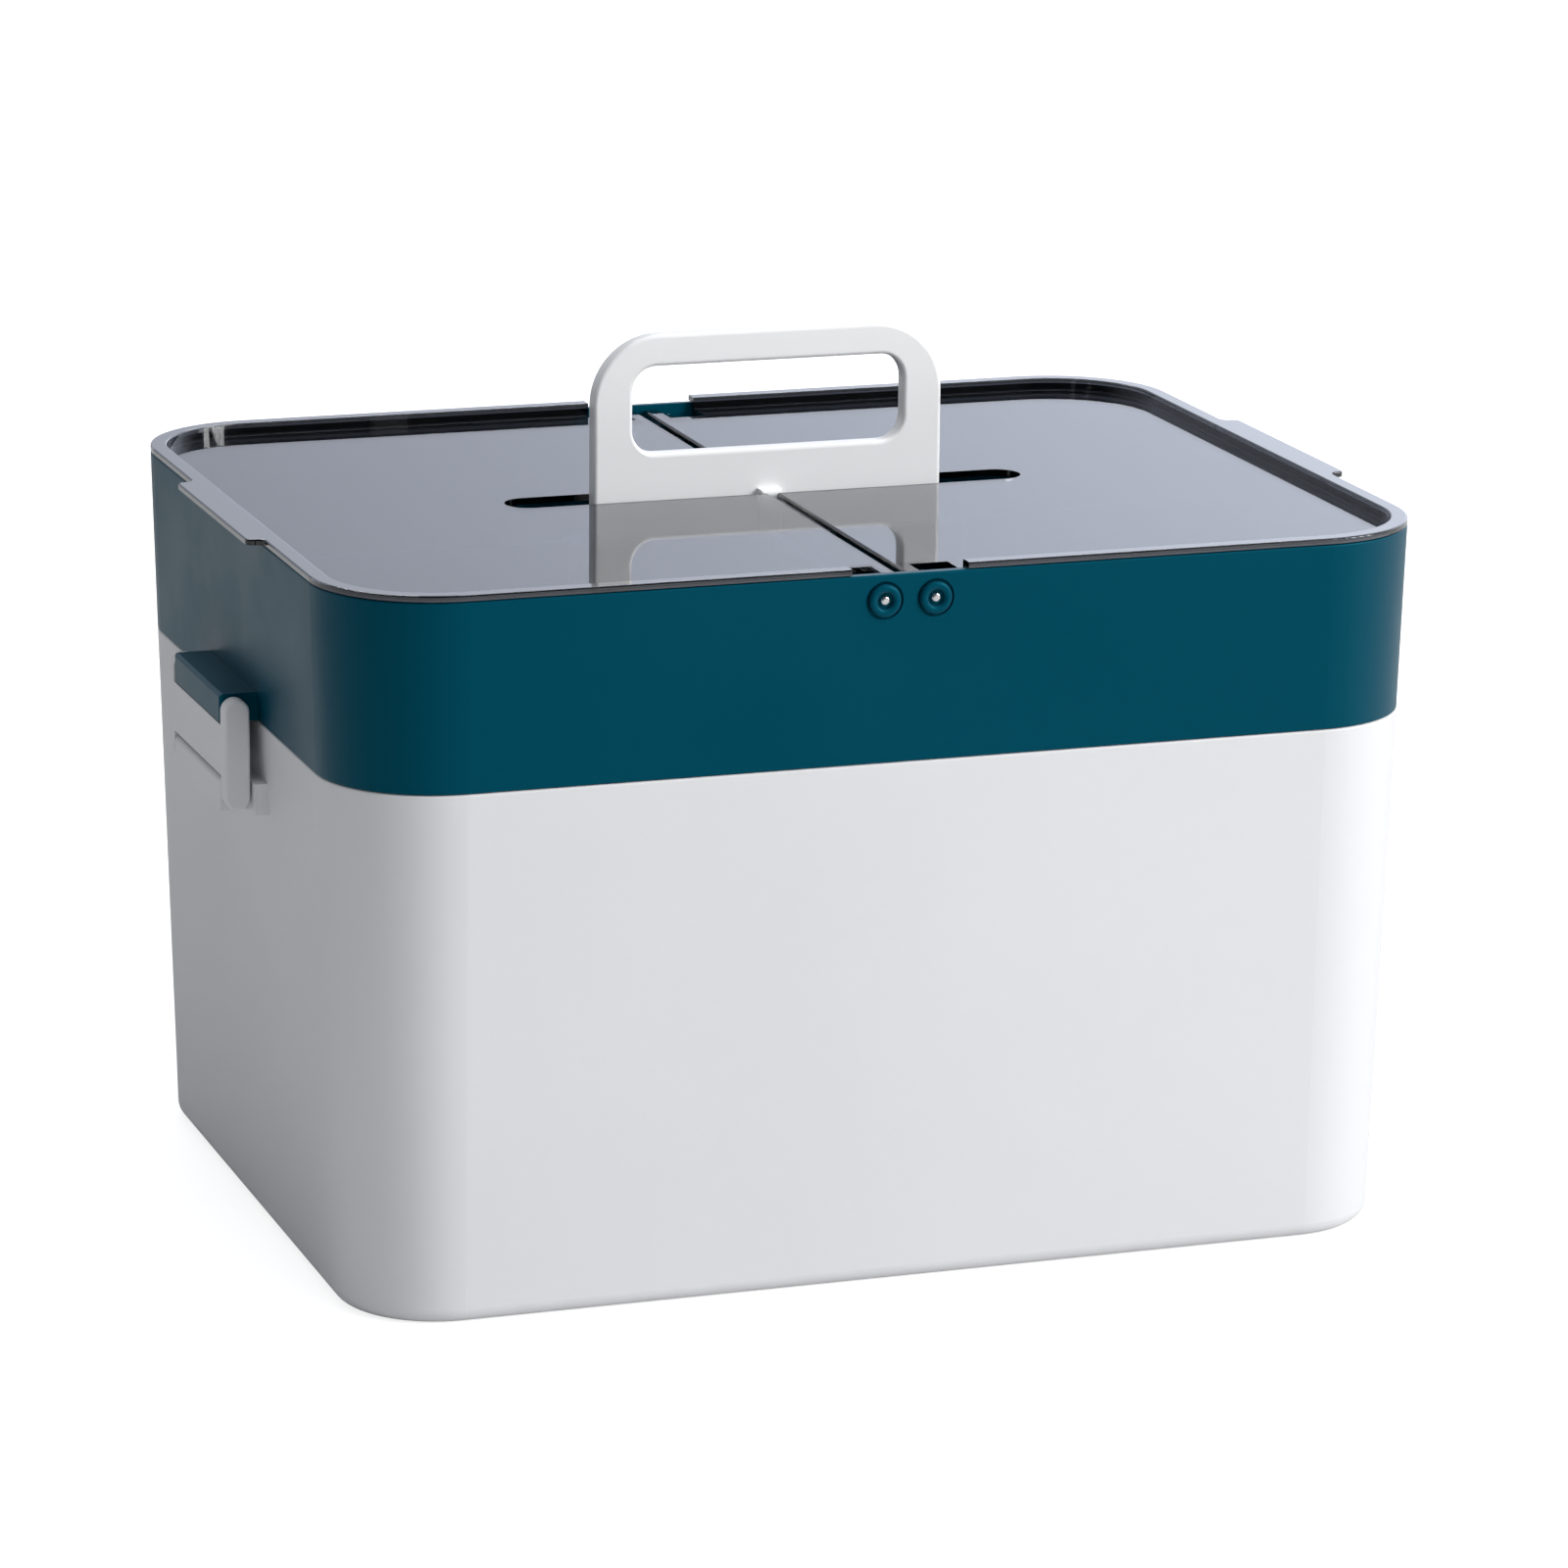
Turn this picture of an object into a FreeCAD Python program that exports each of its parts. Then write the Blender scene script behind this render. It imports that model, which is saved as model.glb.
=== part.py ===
import FreeCAD, Part
import math
import os
import Sketcher

# First aid box: a moulded bin, a tray that stands on it, two flap lids that fold up about pins beside
# the centre line, a fixed plate handle in the slot between the lids, and a swing clip at each side.
# The ledges are solids of their own, seated on the tray's wall, so that the room beside them stays open.
# Millimetres, +Z up, front face towards -Y, origin on the ground under the middle of the box.

SIZES = [
    # Whole box
    ("bodyWidth", 330, "outer width at the top edge of the tray"),
    ("bodyDepth", 254, "outer depth at the top edge of the tray"),
    ("cornerRadius", 36, "outer corner radius at the top edge of the tray"),
    ("binHeight", 156.2, "ground to the rim of the bin"),
    ("trayHeight", 54.7, "height of the tray's outer wall"),
    ("seamGap", 0.3, "gap between the bin's rim and the tray's wall"),
    ("trayDraft", 1.5, "lean of the tray's walls, degrees"),
    ("binDraft", 1.6, "lean of the bin's walls, degrees"),
    # Bin
    ("binWall", 2.6, "wall of the bin"),
    ("binFloor", 2.4, "floor of the bin"),
    ("binOuterRound", 4.5, "round under the outer walls"),
    ("binInnerRound", 3, "round between floor and inner walls"),
    ("rimRound", 0.8, "round on the outer edge of the rim"),
    ("footHeight", 1.2, "height of the foot ring under the floor"),
    ("footWidth", 10, "width of the foot ring"),
    # Tray
    ("trayWall", 2.6, "wall of the tray"),
    ("trayFloor", 2.6, "floor of the tray"),
    ("floorRise", 2.9, "underside of the floor above the tray's wall edge"),
    ("trayInnerRound", 2.5, "round between floor and inner walls"),
    ("trayEdgeRound", 0.6, "round on the top outer edge"),
    ("skirtDepth", 8, "how far the skirt reaches down into the bin"),
    ("skirtWall", 2.2, "wall of the skirt"),
    ("skirtGap", 0.5, "gap between skirt and bin wall"),
    ("partitionWall", 2.4, "thickness of the compartment walls"),
    ("partitionHeight", 34, "height of compartment walls and tower above the floor"),
    # Tower that carries the handle
    ("towerWidth", 124, "width of the tower"),
    ("towerDepth", 17, "depth of the tower"),
    ("towerCorner", 4, "corner radius of the tower"),
    ("towerWall", 2.5, "wall of the hollow tower"),
    ("socketDepth", 9, "depth of the handle's socket in the tower"),
    ("socketFloor", 2.6, "thickness of the socket's floor"),
    ("socketGap", 0.1, "gap round the handle's foot"),
    # Handle
    ("handleWidth", 109, "width of the handle plate"),
    ("handleRise", 47.3, "top of the handle above the tray's top edge"),
    ("handleThickness", 6, "thickness of the handle plate"),
    ("handleCorner", 21, "radius of the two top corners"),
    ("handleEdge", 1.2, "round on the edges of the plate"),
    ("gripWidth", 85, "width of the grip opening"),
    ("gripHeight", 26.4, "height of the grip opening"),
    ("gripCorner", 7.5, "corner radius of the grip opening"),
    ("gripBar", 9.4, "height of the bar above the opening"),
    ("lugWidth", 7, "width of the locating lug at the foot"),
    ("lugDepth", 12, "depth of the locating lug, front to back"),
    ("lugRise", 0.9, "top of the lug above the lid panels"),
    ("lugRound", 1.5, "round on the lug's edges"),
    # Handle screws
    ("screwSpacing", 68, "distance between the two screws"),
    ("screwRadius", 1.5, "radius of a screw's shank"),
    ("screwLength", 11, "length of a screw's shank"),
    ("screwHeadRadius", 3, "radius of a screw's head"),
    ("screwHeadHeight", 2, "height of a screw's head"),
    ("screwHoleGap", 0.25, "gap round the shank in the socket's floor"),
    # Lids
    ("lidRest", 0.3, "gap between the lid's flange and the tray's edge"),
    ("flangeThickness", 1.7, "thickness of the outer flange"),
    ("lidGap", 0.7, "gap between the lid's step and the tray's wall"),
    ("lidStep", 1.7, "thickness of the step"),
    ("panelDrop", 3.5, "flange top down to panel top"),
    ("panelThickness", 2, "thickness of the panel"),
    ("splitGap", 2.4, "gap between the two lids on the centre line"),
    ("splitRound", 0.9, "round on the lids' inner edges"),
    ("flangeRound", 0.5, "round on the top edges of the rim"),
    ("flangeFree", 17.4, "half length without flange at the hinges"),
    ("notchStart", 5.7, "centre line to the notch over a hinge barrel"),
    ("notchBack", 17.5, "outer face to the back edge of the notch"),
    ("slotLength", 162, "length of the handle slot, both lids"),
    ("slotWidth", 14.5, "width of the handle slot"),
    ("tabLength", 83, "length of the finger tab"),
    ("tabReach", 5, "how far the finger tab stands out"),
    ("tabRound", 2.4, "radius at each bend of the tab's ends"),
    # Lid hinges
    ("hingeSpacing", 15.2, "distance between the two hinge axes"),
    ("hingeDrop", 7.5, "hinge axis below the tray's top edge"),
    ("hingePinRadius", 1.5, "radius of a hinge pin"),
    ("hingePinInset", 0.5, "pin's outer end below the face of its bush"),
    ("pinEndRound", 0.9, "round on a pin's ends"),
    ("pinGap", 0.08, "running gap round a pin"),
    ("pressGap", 0.02, "gap where a pin is held tight"),
    ("barrelRadius", 3.8, "radius of a lid's hinge barrel"),
    ("barrelLength", 18, "length of a lid's hinge barrel"),
    ("barrelGap", 0.4, "barrel's end behind the lid's step"),
    ("bushRadius", 4.75, "radius of a hinge bush"),
    ("bushProud", 1, "face of a bush outside the tray's top edge line"),
    ("bushRound", 1, "round on the face of a bush"),
    ("bushRecessRadius", 2.4, "radius of the recess round the pin's end"),
    ("bushRecessDepth", 1.6, "depth of that recess"),
    ("bushGap", 0.05, "gap round a bush in the wall"),
    ("grooveWidth", 0.8, "width of the groove round a bush"),
    ("grooveDepth", 1.1, "depth of the groove below the top edge line"),
    # Side ledges and clips
    ("ledgeLength", 54.4, "length of a side ledge"),
    ("ledgeReach", 10, "face of the ledge outside the tray's top edge line"),
    ("ledgeHeight", 8.5, "height of the ledge"),
    ("ledgeWall", 2.4, "wall of the hollow ledge"),
    ("ledgeRound", 1.2, "round on the ledge's edges"),
    ("ledgeSeat", 0.05, "gap between the ledge and the tray's wall"),
    ("clipPlay", 0.7, "gap between an arm and the end of the ledge"),
    ("armWidth", 7.6, "width of a clip's arm"),
    ("armDrop", 0.8, "top of an arm below the top of the ledge"),
    ("armThickness", 5, "thickness of a clip's arm"),
    ("armRound", 1, "round on the outer edges of an arm"),
    ("clipPanel", 2.4, "thickness of the cross panel"),
    ("clipPanelGap", 0.4, "gap between the cross panel and the ledge"),
    ("clipPanelHeight", 14.9, "height of the cross panel"),
    ("clipAxisDrop", 21.3, "clip's axis below the tray's wall edge"),
    ("clipPinRadius", 1.5, "radius of a clip's pin"),
    ("clipPinBite", 3.5, "how far the pin reaches into each arm"),
    ("pinEndGap", 0.3, "gap at the ends of the clip's pin"),
    # Knuckle on the bin that carries a clip
    ("knuckleTop", 4.4, "top of the knuckle above the clip's axis"),
    ("knuckleFoot", 4.8, "underside of the knuckle below the clip's axis"),
    ("knuckleGap", 0.4, "gap between the knuckle and an arm"),
    ("padMargin", 8, "how far the back pad reaches past the knuckle"),
    ("padGap", 0.5, "gap between the back pad and an arm"),
    ("knuckleRound", 1.5, "round on the knuckle and pad edges"),
]

V = FreeCAD.Vector
doc = FreeCAD.newDocument("FirstAidBox")
sheet = doc.addObject("Spreadsheet::Sheet", "Sizes")
for row, (alias, value, meaning) in enumerate(SIZES, start=1):
    sheet.set(f"A{row}", meaning)
    sheet.set(f"B{row}", str(value))
    sheet.setAlias(f"B{row}", alias)
doc.recompute()

# Heights and half sizes that several pieces share
TRAY_BOTTOM = "(Sizes.binHeight + Sizes.seamGap)"
TRAY_TOP = f"({TRAY_BOTTOM} + Sizes.trayHeight)"
TRAY_LEAN = "(Sizes.trayHeight * tan(Sizes.trayDraft))"
RIM_HALF_WIDTH = f"(Sizes.bodyWidth / 2 - {TRAY_LEAN})"
RIM_HALF_DEPTH = f"(Sizes.bodyDepth / 2 - {TRAY_LEAN})"
RIM_RADIUS = f"(Sizes.cornerRadius - {TRAY_LEAN})"
BIN_LEAN = "(Sizes.binHeight * tan(Sizes.binDraft))"
BIN_FLOOR_TOP = "(Sizes.footHeight + Sizes.binFloor)"
TRAY_FLOOR_UNDER = f"({TRAY_BOTTOM} + Sizes.floorRise)"
TRAY_FLOOR_TOP = f"({TRAY_FLOOR_UNDER} + Sizes.trayFloor)"
PARTITION_TOP = f"({TRAY_FLOOR_TOP} + Sizes.partitionHeight)"
SOCKET_BOTTOM = f"({PARTITION_TOP} - Sizes.socketDepth)"
SOCKET_UNDER = f"({SOCKET_BOTTOM} - Sizes.socketFloor)"
HANDLE_TOP = f"({TRAY_TOP} + Sizes.handleRise)"
LID_TOP = f"({TRAY_TOP} + Sizes.lidRest + Sizes.flangeThickness)"
PANEL_TOP = f"({LID_TOP} - Sizes.panelDrop)"
PANEL_BOTTOM = f"({PANEL_TOP} - Sizes.panelThickness)"
STEP_INSET = "(Sizes.trayWall + Sizes.lidGap)"
DISH_INSET = f"({STEP_INSET} + Sizes.lidStep)"
HINGE_X = "(Sizes.hingeSpacing / 2)"
HINGE_Z = f"({TRAY_TOP} - Sizes.hingeDrop)"
LEDGE_FACE = "(Sizes.bodyWidth / 2 + Sizes.ledgeReach)"
CLIP_AXIS_X = f"({LEDGE_FACE} - Sizes.armWidth / 2)"
CLIP_AXIS_Z = f"({TRAY_BOTTOM} - Sizes.clipAxisDrop)"
ARM_INNER = "(Sizes.ledgeLength / 2 + Sizes.clipPlay)"


# Working with sizes, bodies and sketches


def number(expression):
    """The present value of an expression."""
    return float(sheet.evalExpression(expression))


def new_body(label):
    """An empty body whose label is the name of the piece."""
    body = doc.addObject("PartDesign::Body", label)
    body.Label = label
    return body


def new_sketch(body, name, role, offset="0"):
    """A sketch on one of the body's own origin planes, moved along that plane's normal."""
    plane = [feature for feature in body.Origin.OriginFeatures if feature.Role == role][0]
    sketch = body.newObject("Sketcher::SketchObject", name)
    sketch.AttachmentSupport = [(plane, "")]
    sketch.MapMode = "FlatFace"
    sketch.setExpression("AttachmentOffset.Base.z", offset)
    return sketch


def flat(body, name, height):
    """A horizontal sketch at a height."""
    return new_sketch(body, name, "XY_Plane", height)


def upright(body, name, forward="0"):
    """A sketch that faces the front, with X to the right and Z up, moved towards the front."""
    return new_sketch(body, name, "XZ_Plane", forward)


def dimension(sketch, kind, places, expression):
    """Adds a dimension and binds it to an expression."""
    index = sketch.addConstraint(Sketcher.Constraint(kind, *places, number(expression)))
    sketch.setExpression(f"Constraints[{index}]", expression)


def locate(sketch, vertex, along_x=None, along_y=None):
    """Fixes a vertex at its distances from the sketch's origin."""
    origin = (-1, 1)
    for kind, axis, expression in (("DistanceX", -2, along_x), ("DistanceY", -1, along_y)):
        if expression is None:
            continue
        value = number(expression)
        if abs(value) < 1e-9:
            sketch.addConstraint(Sketcher.Constraint("PointOnObject", *vertex, axis))
        elif value > 0:
            dimension(sketch, kind, (*origin, *vertex), expression)
        else:
            dimension(sketch, kind, (*vertex, *origin), f"-({expression})")


def line(sketch, start, end):
    """Adds a straight line between two points."""
    return sketch.addGeometry(Part.LineSegment(V(*start, 0), V(*end, 0)), False)


def arc(sketch, centre, radius, first, last):
    """Adds an arc, with its first and last angles in degrees."""
    circle = Part.Circle(V(*centre, 0), V(0, 0, 1), radius)
    return sketch.addGeometry(Part.ArcOfCircle(circle, math.radians(first), math.radians(last)), False)


def tie(sketch, kind, *places):
    """Adds a constraint that has no size."""
    sketch.addConstraint(Sketcher.Constraint(kind, *places))


def draw_circle(sketch, across, up, radius):
    """A circle whose centre is across and up from the origin."""
    centre = V(number(across), number(up), 0)
    circle = sketch.addGeometry(Part.Circle(centre, V(0, 0, 1), number(radius)), False)
    locate(sketch, (circle, 3), across, up)
    dimension(sketch, "Radius", (circle,), radius)


def draw_polygon(sketch, corners):
    """A closed outline of straight lines through corners given as pairs of expressions."""
    points = [(number(across), number(up)) for across, up in corners]
    count = len(points)
    lines = [line(sketch, points[i], points[(i + 1) % count]) for i in range(count)]
    for i in range(count):
        tie(sketch, "Coincident", lines[i], 2, lines[(i + 1) % count], 1)
        locate(sketch, (lines[i], 1), *corners[i])


def draw_rectangle(sketch, left, right, bottom, top):
    """A rectangle between four edges."""
    draw_polygon(sketch, [(left, bottom), (right, bottom), (right, top), (left, top)])


def draw_rounded_rectangle(sketch, half_width, bottom, top, radius):
    """A rectangle with round corners, centred left to right."""
    a, b, c, r = number(half_width), number(bottom), number(top), number(radius)
    low = line(sketch, (-a + r, b), (a - r, b))
    low_right = arc(sketch, (a - r, b + r), r, 270, 360)
    right = line(sketch, (a, b + r), (a, c - r))
    high_right = arc(sketch, (a - r, c - r), r, 0, 90)
    high = line(sketch, (a - r, c), (-a + r, c))
    high_left = arc(sketch, (-a + r, c - r), r, 90, 180)
    left = line(sketch, (-a, c - r), (-a, b + r))
    low_left = arc(sketch, (-a + r, b + r), r, 180, 270)
    round_trip = [low, low_right, right, high_right, high, high_left, left, low_left]
    for first, second in zip(round_trip, round_trip[1:] + round_trip[:1]):
        tie(sketch, "Tangent", first, 2, second, 1)
    for level in (low, high):
        tie(sketch, "Horizontal", level)
    for plumb in (left, right):
        tie(sketch, "Vertical", plumb)
    for other in (high_right, high_left, low_left):
        tie(sketch, "Equal", low_right, other)
    dimension(sketch, "Radius", (low_right,), radius)
    inset = f"{half_width} - ({radius})"
    locate(sketch, (low_right, 3), inset, f"{bottom} + ({radius})")
    locate(sketch, (high_left, 3), f"-({inset})", f"{top} - ({radius})")


def draw_plan(sketch, inset, half_width="Sizes.bodyWidth / 2", half_depth="Sizes.bodyDepth / 2",
              radius="Sizes.cornerRadius"):
    """The box's rounded plan, inset all round."""
    inner = f"({half_depth} - {inset})"
    draw_rounded_rectangle(sketch, f"({half_width} - {inset})", f"-{inner}", inner, f"({radius} - {inset})")


def draw_half_plan(sketch, start, inset):
    """The right part of the box's rounded plan, from a line beside the centre, inset all round."""
    right = f"(Sizes.bodyWidth / 2 - {inset})"
    deep = f"(Sizes.bodyDepth / 2 - {inset})"
    radius = f"(Sizes.cornerRadius - {inset})"
    x, a, b, r = number(start), number(right), number(deep), number(radius)
    front = line(sketch, (x, -b), (a - r, -b))
    front_corner = arc(sketch, (a - r, -b + r), r, 270, 360)
    side = line(sketch, (a, -b + r), (a, b - r))
    rear_corner = arc(sketch, (a - r, b - r), r, 0, 90)
    rear = line(sketch, (a - r, b), (x, b))
    inner = line(sketch, (x, b), (x, -b))
    outside = [front, front_corner, side, rear_corner, rear]
    for first, second in zip(outside, outside[1:]):
        tie(sketch, "Tangent", first, 2, second, 1)
    tie(sketch, "Coincident", rear, 2, inner, 1)
    tie(sketch, "Coincident", inner, 2, front, 1)
    tie(sketch, "Horizontal", front)
    tie(sketch, "Horizontal", rear)
    tie(sketch, "Vertical", side)
    tie(sketch, "Vertical", inner)
    dimension(sketch, "Radius", (front_corner,), radius)
    locate(sketch, (front_corner, 3), f"{right} - {radius}", f"-({deep} - {radius})")
    locate(sketch, (rear_corner, 3), None, f"{deep} - {radius}")
    locate(sketch, (front, 1), start)


def draw_stadium(sketch, across, low, high, radius):
    """An upright slot shape between two arc centres."""
    x, b, c, r = number(across), number(low), number(high), number(radius)
    right = line(sketch, (x + r, b), (x + r, c))
    dome = arc(sketch, (x, c), r, 0, 180)
    left = line(sketch, (x - r, c), (x - r, b))
    heel = arc(sketch, (x, b), r, 180, 360)
    for first, second in ((right, dome), (dome, left), (left, heel), (heel, right)):
        tie(sketch, "Tangent", first, 2, second, 1)
    tie(sketch, "Vertical", right)
    dimension(sketch, "Radius", (dome,), radius)
    locate(sketch, (dome, 3), across, high)
    locate(sketch, (heel, 3), None, low)


def draw_half_slot(sketch, end, half_width):
    """The right half of the handle slot, from the centre line to a round end."""
    x, r = number(end), number(half_width)
    low = line(sketch, (0, -r), (x - r, -r))
    tip = arc(sketch, (x - r, 0), r, 270, 450)
    high = line(sketch, (x - r, r), (0, r))
    inner = line(sketch, (0, r), (0, -r))
    tie(sketch, "Tangent", low, 2, tip, 1)
    tie(sketch, "Tangent", tip, 2, high, 1)
    tie(sketch, "Coincident", high, 2, inner, 1)
    tie(sketch, "Coincident", inner, 2, low, 1)
    tie(sketch, "Horizontal", low)
    dimension(sketch, "Radius", (tip,), half_width)
    locate(sketch, (tip, 3), f"{end} - {half_width}", "0")
    locate(sketch, (low, 1), "0")
    locate(sketch, (high, 2), "0")


def draw_barrel(sketch, across, up, radius, top):
    """A hinge barrel's end view: round below the pin, square above it."""
    x, z, r, t = number(across), number(up), number(radius), number(top)
    round_side = arc(sketch, (x, z), r, 180, 360)
    right = line(sketch, (x + r, z), (x + r, t))
    level = line(sketch, (x + r, t), (x - r, t))
    left = line(sketch, (x - r, t), (x - r, z))
    tie(sketch, "Tangent", left, 2, round_side, 1)
    tie(sketch, "Tangent", round_side, 2, right, 1)
    tie(sketch, "Coincident", right, 2, level, 1)
    tie(sketch, "Coincident", level, 2, left, 1)
    tie(sketch, "Horizontal", level)
    tie(sketch, "Vertical", right)
    dimension(sketch, "Radius", (round_side,), radius)
    locate(sketch, (round_side, 3), across, up)
    locate(sketch, (right, 2), None, top)


# Adding and removing material


def grow(body, sketch, name, length, back=False, both=False, draft=None):
    """Pads a sketch along its normal, against it, or evenly to both sides."""
    feature = body.newObject("PartDesign::Pad", name)
    return extrude(feature, body, sketch, length, back, both, draft)


def cut(body, sketch, name, length, back=False, both=False, draft=None):
    """Pockets a sketch against its normal, along it, or evenly to both sides."""
    before = body.Shape.Volume
    feature = body.newObject("PartDesign::Pocket", name)
    extrude(feature, body, sketch, length, back, both, draft)
    if body.Shape.Volume > before - 1e-3:
        raise ValueError(f"{body.Label}: {name} removed nothing")
    return feature


def extrude(feature, body, sketch, length, back, both, draft):
    """Sets what a pad and a pocket have in common."""
    feature.Profile = sketch
    feature.setExpression("Length", length)
    feature.Reversed = back
    if both:
        feature.SideType = "Symmetric"
    if draft:
        feature.setExpression("TaperAngle", draft)
    body.Tip = feature
    doc.recompute()
    return feature


def soften(body, name, radius, wanted):
    """Rounds the edges that a test picks out."""
    base = body.Tip
    names = [f"Edge{i}" for i, edge in enumerate(base.Shape.Edges, start=1) if wanted(edge)]
    if not names:
        raise ValueError(f"{body.Label}: {name} found no edge")
    feature = body.newObject("PartDesign::Fillet", name)
    feature.Base = (base, names)
    feature.setExpression("Radius", radius)
    body.Tip = feature
    doc.recompute()
    return feature


def level_at(edge, height):
    """True for an edge that lies flat at a height."""
    box = edge.BoundBox
    return abs(box.ZMin - number(height)) < 0.01 and abs(box.ZMax - number(height)) < 0.01


def reach(edge):
    """How far an edge stays from the two middle planes, as shares of the box's half sizes."""
    box = edge.BoundBox
    across = max(abs(box.XMin), abs(box.XMax)) / number("Sizes.bodyWidth / 2")
    along = max(abs(box.YMin), abs(box.YMax)) / number("Sizes.bodyDepth / 2")
    return max(across, along)


def on_line(edge, across=None, along=None, up=None):
    """True for an edge all of which lies at the given X, Y or Z."""
    box = edge.BoundBox
    spans = ((box.XMin, box.XMax, across), (box.YMin, box.YMax, along), (box.ZMin, box.ZMax, up))
    for low, high, expression in spans:
        if expression is None:
            continue
        value = number(expression)
        if abs(low - value) > 0.01 or abs(high - value) > 0.01:
            return False
    return True


# Pieces


def make_lower_bin():
    """The open bin: leaning walls, a foot ring, and at each side a knuckle that carries a clip."""
    body = new_body("lower_bin")
    outline = flat(body, "bin_outline", "Sizes.binHeight")
    draw_plan(outline, TRAY_LEAN)
    grow(body, outline, "bin_block", "Sizes.binHeight", back=True, draft="-Sizes.binDraft")
    soften(body, "bin_outer_round", "Sizes.binOuterRound", lambda edge: level_at(edge, "0"))

    inside = flat(body, "bin_inside", "Sizes.binHeight")
    draw_plan(inside, f"({TRAY_LEAN} + Sizes.binWall)")
    cut(body, inside, "bin_hollow", f"Sizes.binHeight - {BIN_FLOOR_TOP}", draft="-Sizes.binDraft")
    soften(body, "bin_inner_round", "Sizes.binInnerRound", lambda edge: level_at(edge, BIN_FLOOR_TOP))

    recess = flat(body, "foot_recess", "0")
    draw_plan(recess, f"({TRAY_LEAN} + {BIN_LEAN} + Sizes.binOuterRound + Sizes.footWidth)")
    cut(body, recess, "foot_hollow", "Sizes.footHeight", back=True)

    pad_inner = f"({RIM_HALF_WIDTH} - Sizes.binWall)"
    knuckle_low = f"({CLIP_AXIS_Z} - Sizes.knuckleFoot)"
    knuckle_high = f"({CLIP_AXIS_Z} + Sizes.knuckleTop)"
    pad_face = f"({LEDGE_FACE} - Sizes.armWidth - Sizes.padGap)"
    knuckle_length = f"(2 * ({ARM_INNER} - Sizes.knuckleGap))"
    pads = upright(body, "back_pads")
    knuckles = upright(body, "knuckle_blocks")
    for sign in ("", "-"):
        draw_rectangle(pads, f"{sign}{pad_inner}", f"{sign}{pad_face}", knuckle_low, knuckle_high)
        draw_rectangle(knuckles, f"{sign}{pad_inner}", f"{sign}{LEDGE_FACE}", knuckle_low, knuckle_high)
    grow(body, pads, "clip_pads", f"{knuckle_length} + 2 * Sizes.padMargin", both=True)
    grow(body, knuckles, "knuckles", knuckle_length, both=True)

    bore = upright(body, "knuckle_bore")
    for sign in ("", "-"):
        draw_circle(bore, f"{sign}{CLIP_AXIS_X}", CLIP_AXIS_Z, "Sizes.clipPinRadius + Sizes.pressGap")
    cut(body, bore, "knuckle_bores", f"{knuckle_length} + Sizes.padMargin", both=True)

    def knuckle_top_edge(edge):
        return on_line(edge, up=knuckle_high) and abs(abs(edge.CenterOfMass.x) - number(LEDGE_FACE)) < 0.01

    def outer_rim(edge):
        inner_reach = number(f"({RIM_HALF_WIDTH} - Sizes.binWall / 2) / (Sizes.bodyWidth / 2)")
        return level_at(edge, "Sizes.binHeight") and reach(edge) > inner_reach

    soften(body, "knuckle_round", "Sizes.knuckleRound", knuckle_top_edge)
    soften(body, "rim_round", "Sizes.rimRound", outer_rim)
    return body


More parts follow.
